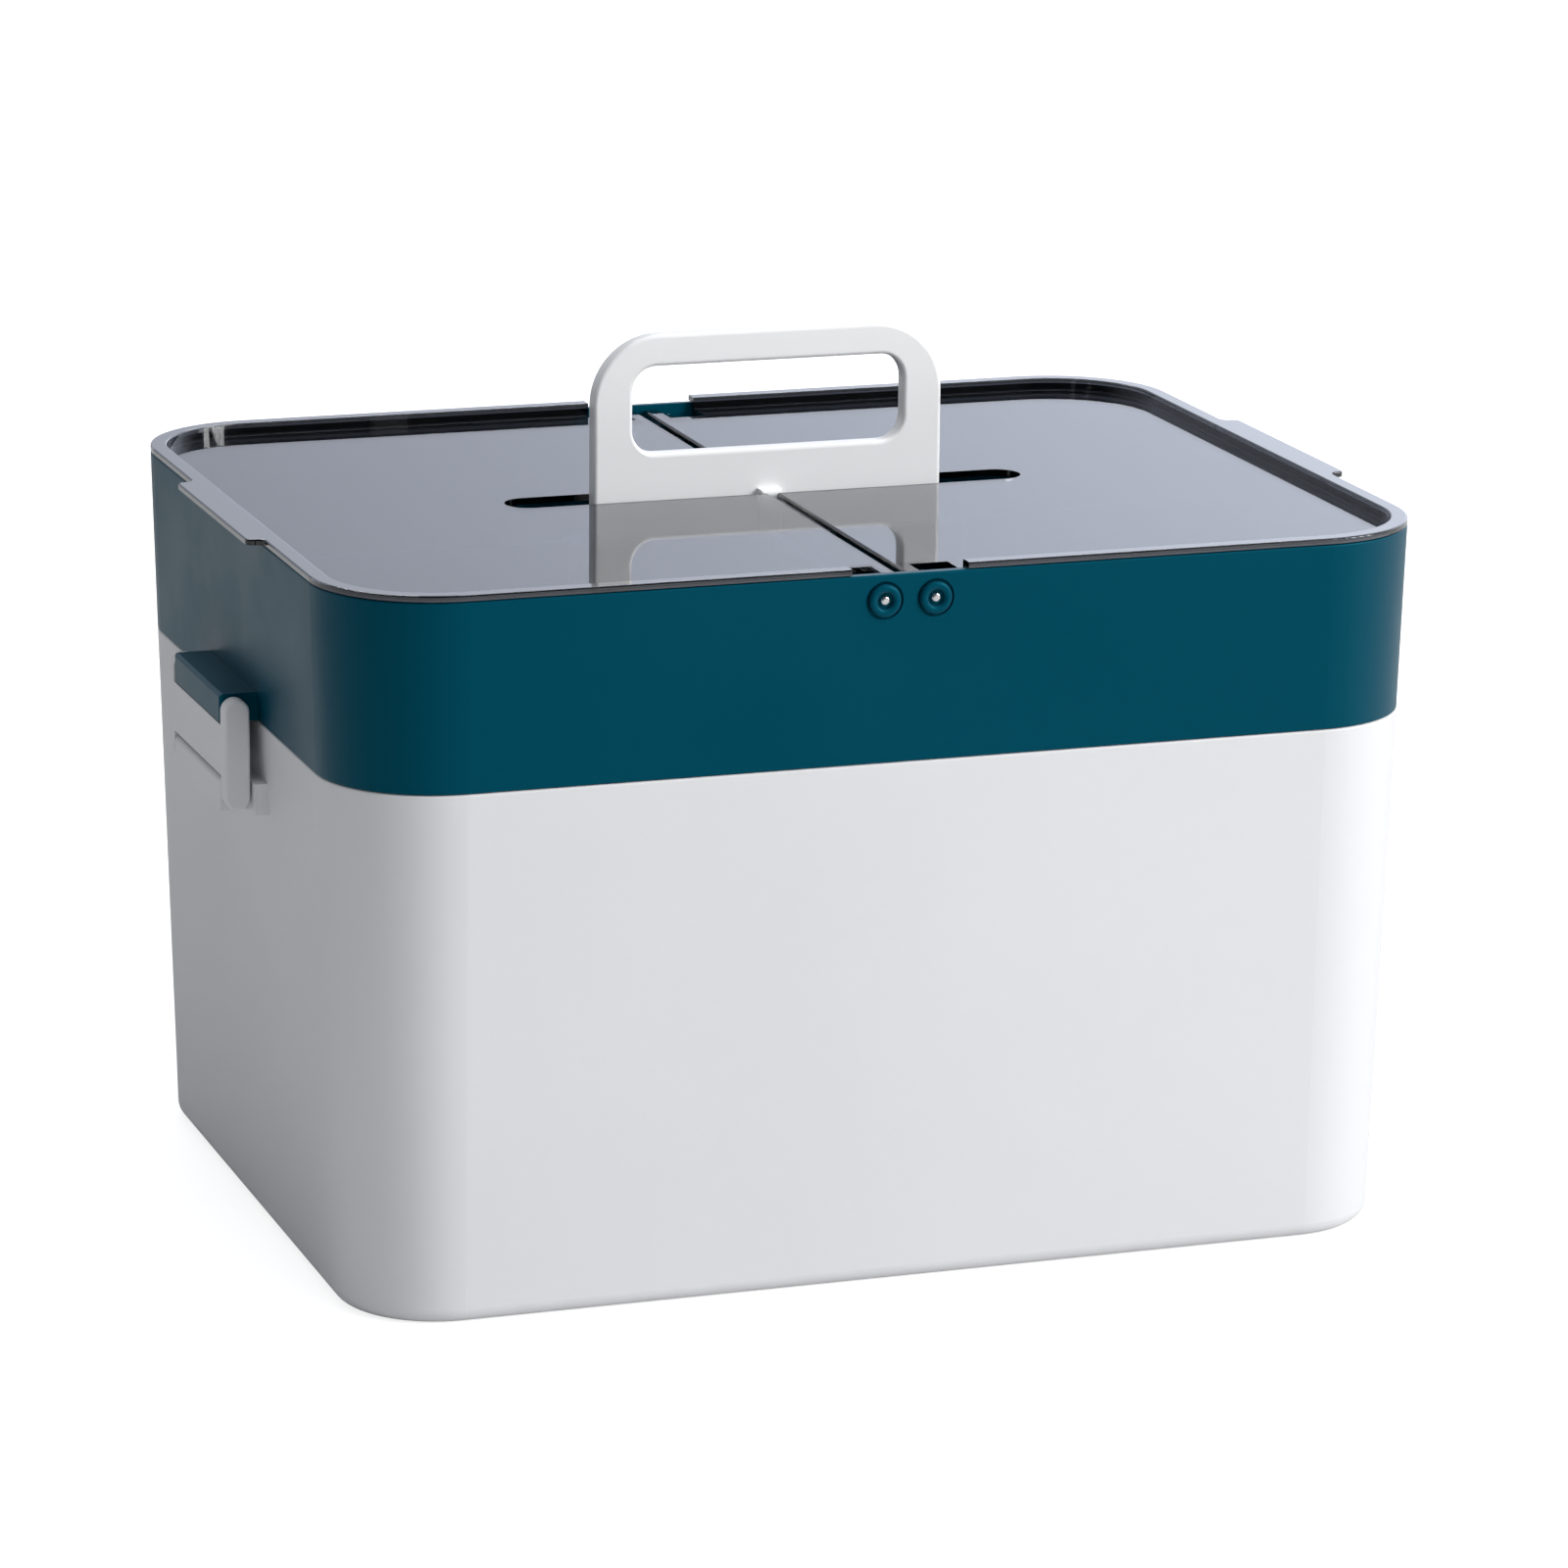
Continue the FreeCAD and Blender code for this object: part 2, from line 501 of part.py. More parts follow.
def make_upper_tray():
    """The tray: skirt inside the bin, four compartments and a hollow tower for the handle."""
    body = new_body("upper_tray")
    outline = flat(body, "tray_outline", TRAY_TOP)
    draw_plan(outline, "0")
    grow(body, outline, "tray_block", "Sizes.trayHeight", back=True, draft="-Sizes.trayDraft")

    inside = flat(body, "tray_inside", TRAY_TOP)
    draw_plan(inside, "Sizes.trayWall")
    cut(body, inside, "tray_hollow", f"{TRAY_TOP} - {TRAY_FLOOR_TOP}", draft="-Sizes.trayDraft")
    soften(body, "tray_inner_round", "Sizes.trayInnerRound", lambda edge: level_at(edge, TRAY_FLOOR_TOP))
    soften(body, "tray_edge_round", "Sizes.trayEdgeRound",
           lambda edge: level_at(edge, TRAY_TOP) and reach(edge) > 0.999)

    skirt_inset = f"({TRAY_LEAN} + Sizes.binWall + Sizes.skirtGap)"
    skirt = flat(body, "skirt_outline", TRAY_BOTTOM)
    draw_plan(skirt, skirt_inset)
    grow(body, skirt, "skirt", "Sizes.skirtDepth", back=True, draft="-Sizes.binDraft")
    under = flat(body, "skirt_inside", f"{TRAY_BOTTOM} - Sizes.skirtDepth")
    draw_plan(under, f"({skirt_inset} + Sizes.skirtWall + Sizes.skirtDepth * tan(Sizes.binDraft))")
    cut(body, under, "underside", f"{TRAY_FLOOR_UNDER} - {TRAY_BOTTOM} + Sizes.skirtDepth", back=True)

    half_wall = "(Sizes.partitionWall / 2)"
    across_half = f"({RIM_HALF_DEPTH} - Sizes.trayWall / 2)"
    along_half = f"({RIM_HALF_WIDTH} - Sizes.trayWall / 2)"
    across = flat(body, "cross_wall_plan", TRAY_FLOOR_TOP)
    draw_rectangle(across, f"-{half_wall}", half_wall, f"-{across_half}", across_half)
    grow(body, across, "cross_wall", "Sizes.partitionHeight")
    along = flat(body, "long_wall_plan", TRAY_FLOOR_TOP)
    draw_rectangle(along, f"-{along_half}", along_half, f"-{half_wall}", half_wall)
    grow(body, along, "long_wall", "Sizes.partitionHeight")

    tower = flat(body, "tower_plan", TRAY_FLOOR_TOP)
    draw_rounded_rectangle(tower, "Sizes.towerWidth / 2", "-Sizes.towerDepth / 2", "Sizes.towerDepth / 2",
                           "Sizes.towerCorner")
    grow(body, tower, "tower", "Sizes.partitionHeight")
    wide = "(Sizes.handleWidth / 2 + Sizes.socketGap)"
    deep = "(Sizes.handleThickness / 2 + Sizes.socketGap)"
    socket = flat(body, "socket_plan", PARTITION_TOP)
    draw_rectangle(socket, f"-{wide}", wide, f"-{deep}", deep)
    cut(body, socket, "socket", "Sizes.socketDepth")
    shaft_half_depth = "(Sizes.towerDepth / 2 - Sizes.towerWall)"
    shaft = flat(body, "tower_inside", TRAY_FLOOR_UNDER)
    draw_rounded_rectangle(shaft, "(Sizes.towerWidth / 2 - Sizes.towerWall)", f"-{shaft_half_depth}",
                           shaft_half_depth, "(Sizes.towerCorner - Sizes.towerWall)")
    cut(body, shaft, "tower_hollow", f"{SOCKET_UNDER} - {TRAY_FLOOR_UNDER}", back=True)
    screw_holes = flat(body, "screw_hole_plan", SOCKET_BOTTOM)
    for sign in ("", "-"):
        draw_circle(screw_holes, f"{sign}Sizes.screwSpacing / 2", "0", "Sizes.screwRadius + Sizes.screwHoleGap")
    cut(body, screw_holes, "screw_holes", "Sizes.socketFloor")

    bush_holes = upright(body, "bush_hole_ends")
    for sign in ("", "-"):
        draw_circle(bush_holes, f"{sign}{HINGE_X}", HINGE_Z, "Sizes.bushRadius + Sizes.bushGap")
    cut(body, bush_holes, "bush_holes", "Sizes.bodyDepth", both=True)
    for side, forward, back in (("front", "", False), ("rear", "-", True)):
        groove = upright(body, f"{side}_groove_ends", f"{forward}Sizes.bodyDepth / 2")
        for sign in ("", "-"):
            draw_circle(groove, f"{sign}{HINGE_X}", HINGE_Z, "Sizes.bushRadius + Sizes.grooveWidth")
        cut(body, groove, f"{side}_grooves", "Sizes.grooveDepth", back=back)
    return body


def make_side_ledge_right():
    """The right-hand ledge on the tray's wall, hollow from below, between the arms of the clip."""
    body = new_body("side_ledge_right")
    half = "(Sizes.ledgeLength / 2)"
    top = f"({TRAY_BOTTOM} + Sizes.ledgeHeight)"
    foot = f"({RIM_HALF_WIDTH} + Sizes.ledgeSeat)"
    head = f"({foot} + Sizes.ledgeHeight * tan(Sizes.trayDraft))"
    outline = upright(body, "ledge_end_view")
    draw_polygon(outline, [(foot, TRAY_BOTTOM), (LEDGE_FACE, TRAY_BOTTOM), (LEDGE_FACE, top), (head, top)])
    grow(body, outline, "ledge", "Sizes.ledgeLength", both=True)
    hollow = flat(body, "ledge_hollow_plan", TRAY_BOTTOM)
    hollow_half = f"({half} - Sizes.ledgeWall)"
    draw_rectangle(hollow, f"{head} + Sizes.ledgeWall", f"{LEDGE_FACE} - Sizes.ledgeWall",
                   f"-{hollow_half}", hollow_half)
    cut(body, hollow, "ledge_hollow", "Sizes.ledgeHeight - Sizes.ledgeWall", back=True)

    def outer_edges(edge):
        upright_edge = edge.BoundBox.ZLength > number("Sizes.ledgeHeight") - 0.01
        return on_line(edge, across=LEDGE_FACE) and (upright_edge or level_at(edge, top))

    soften(body, "ledge_round", "Sizes.ledgeRound", outer_edges)
    return body


def make_carry_handle():
    """The handle plate with its grip opening, its foot for the socket and its locating lug."""
    body = new_body("carry_handle")
    plate = upright(body, "plate_outline")
    half_width = "(Sizes.handleWidth / 2)"
    draw_rectangle(plate, f"-{half_width}", half_width, SOCKET_BOTTOM, HANDLE_TOP)
    grow(body, plate, "plate", "Sizes.handleThickness", both=True)

    def top_corners(edge):
        through = edge.BoundBox.YLength > number("Sizes.handleThickness") - 0.01
        return through and on_line(edge, up=HANDLE_TOP)

    soften(body, "top_corners", "Sizes.handleCorner", top_corners)

    grip_top = f"({HANDLE_TOP} - Sizes.gripBar)"
    grip = upright(body, "grip_outline")
    draw_rounded_rectangle(grip, "Sizes.gripWidth / 2", f"({grip_top} - Sizes.gripHeight)", grip_top,
                           "Sizes.gripCorner")
    cut(body, grip, "grip_opening", "2 * Sizes.handleThickness", both=True)

    def face_edges(edge):
        on_face = abs(abs(edge.CenterOfMass.y) - number("Sizes.handleThickness / 2")) < 0.01
        return on_face and edge.BoundBox.YLength < 0.01

    soften(body, "plate_round", "Sizes.handleEdge", face_edges)

    lug_half_width = "(Sizes.lugWidth / 2)"
    lug_half_depth = "(Sizes.lugDepth / 2)"
    lug = flat(body, "lug_plan", PARTITION_TOP)
    draw_rectangle(lug, f"-{lug_half_width}", lug_half_width, f"-{lug_half_depth}", lug_half_depth)
    lug_top = f"({PANEL_TOP} + Sizes.lugRise)"
    grow(body, lug, "lug", f"{lug_top} - {PARTITION_TOP}")

    def lug_edges(edge):
        middle = edge.CenterOfMass
        beside = abs(middle.x) < number(lug_half_width) + 0.01
        proud = abs(abs(middle.y) - number(lug_half_depth)) < 0.01
        return beside and proud and middle.z > number(PARTITION_TOP) + 0.01

    soften(body, "lug_round", "Sizes.lugRound", lug_edges)

    pilots = flat(body, "pilot_plan", SOCKET_BOTTOM)
    for sign in ("", "-"):
        draw_circle(pilots, f"{sign}Sizes.screwSpacing / 2", "0", "Sizes.screwRadius + Sizes.pressGap")
    cut(body, pilots, "pilot_holes", "Sizes.screwLength", back=True)
    return body


def make_lid_right():
    """The right-hand lid: a sunk panel inside a stepped rim, half the slot, a tab and two barrels."""
    body = new_body("lid_right")
    split = "(Sizes.splitGap / 2)"
    flange = flat(body, "flange_outline", f"{LID_TOP} - Sizes.flangeThickness")
    draw_half_plan(flange, "Sizes.flangeFree", "0")
    grow(body, flange, "flange", "Sizes.flangeThickness")
    tab_half = "(Sizes.tabLength / 2)"
    tab = flat(body, "tab_outline", f"{LID_TOP} - Sizes.flangeThickness")
    draw_rectangle(tab, f"Sizes.bodyWidth / 2 - {STEP_INSET}", "Sizes.bodyWidth / 2 + Sizes.tabReach",
                   f"-{tab_half}", tab_half)
    grow(body, tab, "finger_tab", "Sizes.flangeThickness")

    def tab_bends(edge):
        on_tab_end = abs(abs(edge.CenterOfMass.y) - number(tab_half)) < 0.01
        return on_tab_end and edge.BoundBox.ZLength > number("Sizes.flangeThickness") - 0.01

    soften(body, "tab_bends", "Sizes.tabRound", tab_bends)

    block = flat(body, "panel_outline", PANEL_BOTTOM)
    draw_half_plan(block, split, STEP_INSET)
    grow(body, block, "panel_block", f"{LID_TOP} - {PANEL_BOTTOM}")
    dish = flat(body, "dish_outline", LID_TOP)
    draw_half_plan(dish, "0", DISH_INSET)
    cut(body, dish, "dish", "Sizes.panelDrop")

    ends = flat(body, "hinge_end_plan", LID_TOP)
    notches = flat(body, "notch_plan", LID_TOP)
    deep = "(Sizes.bodyDepth / 2)"
    for sign in ("", "-"):
        draw_rectangle(ends, "0", "Sizes.flangeFree", f"{sign}({deep} - {DISH_INSET} - Sizes.splitRound)",
                       f"{sign}{deep}")
        draw_rectangle(notches, "Sizes.notchStart", "Sizes.flangeFree", f"{sign}({deep} - Sizes.notchBack)",
                       f"{sign}{deep}")
    cut(body, ends, "hinge_ends", "Sizes.panelDrop")
    cut(body, notches, "barrel_notches", f"{LID_TOP} - {PANEL_BOTTOM}")
    slot = flat(body, "slot_outline", LID_TOP)
    draw_half_slot(slot, "Sizes.slotLength / 2", "Sizes.slotWidth / 2")
    cut(body, slot, "handle_slot", f"{LID_TOP} - {PANEL_BOTTOM}")

    def split_edges(edge):
        return on_line(edge, across=split) and edge.BoundBox.YLength > number("Sizes.slotWidth")

    def flange_edges(edge):
        beside_hinge = edge.BoundBox.XMin < number("Sizes.flangeFree") - 0.01
        return level_at(edge, LID_TOP) and not beside_hinge and edge.Length > number(DISH_INSET)

    soften(body, "split_round", "Sizes.splitRound", split_edges)
    soften(body, "flange_round", "Sizes.flangeRound", flange_edges)

    barrel_end = f"({deep} - {STEP_INSET} - Sizes.barrelGap)"
    for side, forward, back in (("front", "", True), ("rear", "-", False)):
        barrel = upright(body, f"{side}_barrel_end", f"{forward}{barrel_end}")
        draw_barrel(barrel, HINGE_X, HINGE_Z, "Sizes.barrelRadius", PANEL_BOTTOM)
        grow(body, barrel, f"{side}_barrel", "Sizes.barrelLength", back=back)
    bores = upright(body, "barrel_bore")
    draw_circle(bores, HINGE_X, HINGE_Z, "Sizes.hingePinRadius + Sizes.pinGap")
    cut(body, bores, "barrel_bores", "Sizes.bodyDepth", both=True)
    return body


def make_clip_right():
    """The right-hand swing clip: two arms with round ends and a cross panel between them."""
    body = new_body("clip_right")
    arm_high = f"({TRAY_BOTTOM} + Sizes.ledgeHeight - Sizes.armDrop - Sizes.armWidth / 2)"
    for side, forward, back in (("front", "", False), ("rear", "-", True)):
        arm = upright(body, f"{side}_arm_outline", f"{forward}{ARM_INNER}")
        draw_stadium(arm, CLIP_AXIS_X, CLIP_AXIS_Z, arm_high, "Sizes.armWidth / 2")
        grow(body, arm, f"{side}_arm", "Sizes.armThickness", back=back)
        if side == "front":
            panel_high = f"({TRAY_BOTTOM} - Sizes.clipPanelGap)"
            panel = upright(body, "panel_end_view")
            draw_rectangle(panel, f"{LEDGE_FACE} - Sizes.clipPanel", LEDGE_FACE,
                           f"{panel_high} - Sizes.clipPanelHeight", panel_high)
            grow(body, panel, "cross_panel", f"2 * {ARM_INNER} + Sizes.armThickness", both=True)

    def arm_faces(edge):
        outer = number(f"{ARM_INNER} + Sizes.armThickness")
        return abs(abs(edge.CenterOfMass.y) - outer) < 0.01 and edge.BoundBox.YLength < 0.01

    soften(body, "arm_round", "Sizes.armRound", arm_faces)
    bore = upright(body, "clip_bore_end")
    draw_circle(bore, CLIP_AXIS_X, CLIP_AXIS_Z, "Sizes.clipPinRadius + Sizes.pinGap")
    cut(body, bore, "clip_bore", f"2 * ({ARM_INNER} + Sizes.clipPinBite)", both=True)
    return body


def make_mirror(source, label):
    """The same piece on the other side of the middle plane."""
    mirror = doc.addObject("Part::Mirroring", label)
    mirror.Source = source
    mirror.Base = V(0, 0, 0)
    mirror.Normal = V(1, 0, 0)
    mirror.Label = label
    doc.recompute()
    return mirror


def make_pin(label, radius, length, across, forward, up, both=False):
    """A straight pin along Y with rounded ends, from its front end or centred."""
    body = new_body(label)
    end = upright(body, "pin_end", forward)
    draw_circle(end, across, up, radius)
    grow(body, end, "shank", length, back=True, both=both)
    soften(body, "end_round", "Sizes.pinEndRound", lambda edge: edge.BoundBox.YLength < 0.01)
    return body


def make_bush(label, across, side):
    """A hinge bush pressed into the tray's wall, with a recess round the end of its pin."""
    body = new_body(label)
    face = "(Sizes.bodyDepth / 2 + Sizes.bushProud)"
    forward = face if side == "front" else f"-{face}"
    inward = side == "front"
    length = f"({face} - Sizes.bodyDepth / 2 + Sizes.trayWall + Sizes.hingeDrop * tan(Sizes.trayDraft))"
    disc = upright(body, "bush_outline", forward)
    draw_circle(disc, across, HINGE_Z, "Sizes.bushRadius")
    grow(body, disc, "bush", length, back=inward)
    recess = upright(body, "recess_outline", forward)
    draw_circle(recess, across, HINGE_Z, "Sizes.bushRecessRadius")
    cut(body, recess, "recess", "Sizes.bushRecessDepth", back=not inward)
    bore = upright(body, "bush_bore_end", forward)
    draw_circle(bore, across, HINGE_Z, "Sizes.hingePinRadius + Sizes.pressGap")
    cut(body, bore, "bush_bore", length, back=not inward)

    def outer_face(edge):
        wide = edge.BoundBox.XLength > number("2 * Sizes.bushRecessRadius") - 0.01
        return on_line(edge, along=f"-({forward})") and wide

    soften(body, "bush_round", "Sizes.bushRound", outer_face)
    return body


def make_screw(label, across):
    """A pan-head screw that stands upright under the socket's floor."""
    body = new_body(label)
    head = flat(body, "head_plan", SOCKET_UNDER)
    draw_circle(head, across, "0", "Sizes.screwHeadRadius")
    grow(body, head, "head", "Sizes.screwHeadHeight", back=True)
    soften(body, "head_round", "Sizes.screwHeadHeight / 2",
           lambda edge: level_at(edge, f"{SOCKET_UNDER} - Sizes.screwHeadHeight"))
    shank = flat(body, "shank_plan", SOCKET_UNDER)
    draw_circle(shank, across, "0", "Sizes.screwRadius")
    grow(body, shank, "shank", "Sizes.screwLength")
    return body


def make_box():
    """All the pieces of the box, each under its own label."""
    ledge_right = make_side_ledge_right()
    lid_right = make_lid_right()
    clip_right = make_clip_right()
    pieces = [
        make_lower_bin(),
        make_upper_tray(),
        ledge_right,
        make_mirror(ledge_right, "side_ledge_left"),
        make_carry_handle(),
        lid_right,
        make_mirror(lid_right, "lid_left"),
        clip_right,
        make_mirror(clip_right, "clip_left"),
    ]
    pin_front = "(Sizes.bodyDepth / 2 + Sizes.bushProud - Sizes.hingePinInset)"
    pin_back = f"(Sizes.bodyDepth / 2 - {STEP_INSET} - Sizes.barrelGap - Sizes.barrelLength)"
    pin_length = f"({pin_front} - {pin_back})"
    clip_pin_length = f"2 * ({ARM_INNER} + Sizes.clipPinBite - Sizes.pinEndGap)"
    for side, sign in (("left", "-"), ("right", "")):
        across = f"{sign}{HINGE_X}"
        for end, forward in (("front", pin_front), ("rear", f"-{pin_back}")):
            pieces.append(make_pin(f"hinge_pin_{end}_{side}", "Sizes.hingePinRadius", pin_length, across,
                                   forward, HINGE_Z))
        pieces.append(make_bush(f"hinge_bush_front_{side}", across, "front"))
        pieces.append(make_bush(f"hinge_bush_rear_{side}", across, "rear"))
        pieces.append(make_pin(f"clip_pin_{side}", "Sizes.clipPinRadius", clip_pin_length,
                               f"{sign}{CLIP_AXIS_X}", "0", CLIP_AXIS_Z, both=True))
        pieces.append(make_screw(f"handle_screw_{side}", f"{sign}Sizes.screwSpacing / 2"))
    return pieces


def check_and_write(pieces):
    """Stops on any object that failed, then writes each piece to its own file."""
    doc.recompute()
    for item in doc.Objects:
        if "Invalid" in item.State or "Error" in item.State:
            raise ValueError(f"{item.Label} is {item.State}")
    for piece in pieces:
        if piece.Shape.isNull() or not piece.Shape.isValid() or len(piece.Shape.Solids) != 1:
            raise ValueError(f"{piece.Label} has no valid single solid")
    os.makedirs("parts", exist_ok=True)
    for piece in pieces:
        piece.Shape.exportStep(f"parts/{piece.Label}.step")


check_and_write(make_box())
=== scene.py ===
import math

import bpy
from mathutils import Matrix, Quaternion, Vector

# First aid box: finishes for its bin, tray, lids, clips and handle, a pale studio floor, and the
# camera of the product photograph. Metres, +Z up, front face towards -Y.

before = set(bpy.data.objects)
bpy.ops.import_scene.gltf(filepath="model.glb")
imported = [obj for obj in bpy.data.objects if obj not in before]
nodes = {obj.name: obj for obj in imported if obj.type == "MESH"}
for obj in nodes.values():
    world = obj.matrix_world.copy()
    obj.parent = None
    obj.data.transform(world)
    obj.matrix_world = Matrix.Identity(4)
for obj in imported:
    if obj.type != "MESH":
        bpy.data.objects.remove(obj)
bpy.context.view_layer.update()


# Finishes

PATTERN_LOW = 0.3  # a noise pattern counts as at its low end up to this value
PATTERN_HIGH = 0.7  # and as at its high end from this one
PLASTIC_IOR = 1.5
COLOUR_WAVES = 9  # waves to the metre in the drift of a moulded colour
GLOSS_WAVES = 26  # and in the drift of its gloss


def new_material(name):
    """A node material with its shader and output, and the piece's own coordinates."""
    material = bpy.data.materials.new(name)
    material.use_nodes = True
    tree = material.node_tree
    tree.nodes.clear()
    output = tree.nodes.new("ShaderNodeOutputMaterial")
    shader = tree.nodes.new("ShaderNodeBsdfPrincipled")
    tree.links.new(shader.outputs["BSDF"], output.inputs["Surface"])
    coordinates = tree.nodes.new("ShaderNodeTexCoord")
    return material, tree, shader, coordinates.outputs["Object"]


def math_node(tree, operation, first, second):
    """One step of arithmetic between two links, or a link and a number."""
    node = tree.nodes.new("ShaderNodeMath")
    node.operation = operation
    for socket, value in zip(node.inputs, (first, second)):
        if isinstance(value, (int, float)):
            socket.default_value = value
        else:
            tree.links.new(value, socket)
    return node.outputs["Value"]


def slope(tree, value, start, end, low, high):
    """Rises from low to high while the value goes from start to end, and is level outside."""
    reach = tree.nodes.new("ShaderNodeMapRange")
    reach.interpolation_type = "SMOOTHSTEP"
    reach.inputs["From Min"].default_value = start
    reach.inputs["From Max"].default_value = end
    reach.inputs["To Min"].default_value = low
    reach.inputs["To Max"].default_value = high
    tree.links.new(value, reach.inputs["Value"])
    return reach.outputs["Result"]


def noise(tree, place, scale, detail=2.0, stretch=(1, 1, 1)):
    """A noise pattern with scale waves to the metre, drawn out along an axis where stretch is
    small."""
    mapping = tree.nodes.new("ShaderNodeMapping")
    mapping.inputs["Scale"].default_value = stretch
    tree.links.new(place, mapping.inputs["Vector"])
    pattern = tree.nodes.new("ShaderNodeTexNoise")
    pattern.inputs["Scale"].default_value = scale
    pattern.inputs["Detail"].default_value = detail
    tree.links.new(mapping.outputs["Vector"], pattern.inputs["Vector"])
    return pattern.outputs["Fac"]


def colour_drift(tree, pattern, first, second):
    """A colour that drifts between two near shades."""
    ramp = tree.nodes.new("ShaderNodeValToRGB")
    ramp.color_ramp.elements[0].position = PATTERN_LOW
    ramp.color_ramp.elements[0].color = (*first, 1)
    ramp.color_ramp.elements[1].position = PATTERN_HIGH
    ramp.color_ramp.elements[1].color = (*second, 1)
    tree.links.new(pattern, ramp.inputs["Fac"])
    return ramp.outputs["Color"]


def vary_colour(tree, shader, pattern, first, second):
    """Lets the colour drift between two near shades."""
    tree.links.new(colour_drift(tree, pattern, first, second), shader.inputs["Base Color"])


def vary_roughness(tree, shader, pattern, low, high):
    """Lets the gloss drift between two near values."""
    reach = tree.nodes.new("ShaderNodeMapRange")
    reach.inputs["From Min"].default_value = PATTERN_LOW
    reach.inputs["From Max"].default_value = PATTERN_HIGH
    reach.inputs["To Min"].default_value = low
    reach.inputs["To Max"].default_value = high
    tree.links.new(pattern, reach.inputs["Value"])
    tree.links.new(reach.outputs["Result"], shader.inputs["Roughness"])


def add_grain(tree, shader, pattern, depth, strength=1.0):
    """Raises the pattern as a shallow relief, its depth in metres."""
    bump = tree.nodes.new("ShaderNodeBump")
    bump.inputs["Distance"].default_value = depth
    bump.inputs["Strength"].default_value = strength
    tree.links.new(pattern, bump.inputs["Height"])
    tree.links.new(bump.outputs["Normal"], shader.inputs["Normal"])


def moulded_plastic(name, shades, roughness, grain_waves, grain_depth, shine=0.5, tint=(1, 1, 1)):
    """Opaque moulded plastic with a fine grain and a slight drift in colour and gloss."""
    material, tree, shader, place = new_material(name)
    shader.inputs["IOR"].default_value = PLASTIC_IOR
    shader.inputs["Specular IOR Level"].default_value = shine
    shader.inputs["Specular Tint"].default_value = (*tint, 1)
    vary_colour(tree, shader, noise(tree, place, COLOUR_WAVES), *shades)
    vary_roughness(tree, shader, noise(tree, place, GLOSS_WAVES, detail=3), *roughness)
    add_grain(tree, shader, noise(tree, place, grain_waves), grain_depth)
    return material


# The outline of the two lids' thin panels together. Outside it is their rim.
PANEL_HALF_WIDTH = 0.160
PANEL_HALF_DEPTH = 0.122
PANEL_CORNER = 0.031
RIM_FADE = 0.0004  # half the width over which panel turns to rim
PANEL_SHADES = (0.330, 0.345, 0.375), (0.355, 0.370, 0.400)
# the rim's near-black shades: partly the thicker smoked plastic, partly painted shade of the rim's
# inner faces
RIM_SHADES_WITH_PAINTED_SHADE = (0.012, 0.013, 0.016), (0.016, 0.017, 0.020)
PANEL_COAT = 0.1
RIM_COAT = 0.8


def rim_share(tree, place):
    """One on the lids' rim, where the plastic is seen on edge and its colour carries painted
    shade, and zero on the panel inside it.
    """
    axes = tree.nodes.new("ShaderNodeSeparateXYZ")
    tree.links.new(place, axes.inputs["Vector"])
    beyond = tree.nodes.new("ShaderNodeCombineXYZ")
    for axis, half in (("X", PANEL_HALF_WIDTH), ("Y", PANEL_HALF_DEPTH)):
        away = math_node(tree, "ABSOLUTE", axes.outputs[axis], 0)
        over = math_node(tree, "SUBTRACT", away, half - PANEL_CORNER)
        tree.links.new(math_node(tree, "MAXIMUM", over, 0), beyond.inputs[axis])
    reach = tree.nodes.new("ShaderNodeVectorMath")
    reach.operation = "LENGTH"
    tree.links.new(beyond.outputs["Vector"], reach.inputs[0])
    return slope(
        tree, reach.outputs["Value"],
        start=PANEL_CORNER - RIM_FADE, end=PANEL_CORNER + RIM_FADE, low=0, high=1)


def smoked_plastic():
    """The lids' polished smoked plastic, see-through in the panel and nearly black in the rim,
    partly for its thicker plastic and partly as painted shade.
    """
    material, tree, shader, place = new_material("smoked_lid_plastic")
    shader.inputs["IOR"].default_value = PLASTIC_IOR
    shader.inputs["Transmission Weight"].default_value = 1.0
    shader.inputs["Coat Roughness"].default_value = 0.02
    panel = colour_drift(tree, noise(tree, place, 7), *PANEL_SHADES)
    # near-black rim colour, partly painted shade
    rim = colour_drift(tree, noise(tree, place, 30), *RIM_SHADES_WITH_PAINTED_SHADE)
    on_rim = rim_share(tree, place)
    coat = slope(tree, on_rim, start=0, end=1, low=PANEL_COAT, high=RIM_COAT)
    tree.links.new(coat, shader.inputs["Coat Weight"])
    mix = tree.nodes.new("ShaderNodeMix")
    mix.data_type = "RGBA"
    tree.links.new(on_rim, mix.inputs["Factor"])
    tree.links.new(panel, mix.inputs["A"])
    tree.links.new(rim, mix.inputs["B"])
    tree.links.new(mix.outputs["Result"], shader.inputs["Base Color"])
    vary_roughness(tree, shader, noise(tree, place, 40, detail=3), low=0.02, high=0.04)
    add_grain(tree, shader, noise(tree, place, 30, detail=1), depth=0.00002, strength=0.5)
    return material


def pin_steel():
    """Drawn steel of the pins and screws, with fine lines from front to back."""
    material, tree, shader, place = new_material("pin_steel")
    shader.inputs["Metallic"].default_value = 1.0
    streaks = noise(tree, place, 300, stretch=(1, 0.1, 1))
    scratches = noise(tree, place, 900, stretch=(1, 0.05, 1))
    vary_colour(tree, shader, streaks, (0.60, 0.60, 0.61), (0.74, 0.74, 0.75))
    vary_roughness(tree, shader, scratches, low=0.16, high=0.30)
    return material


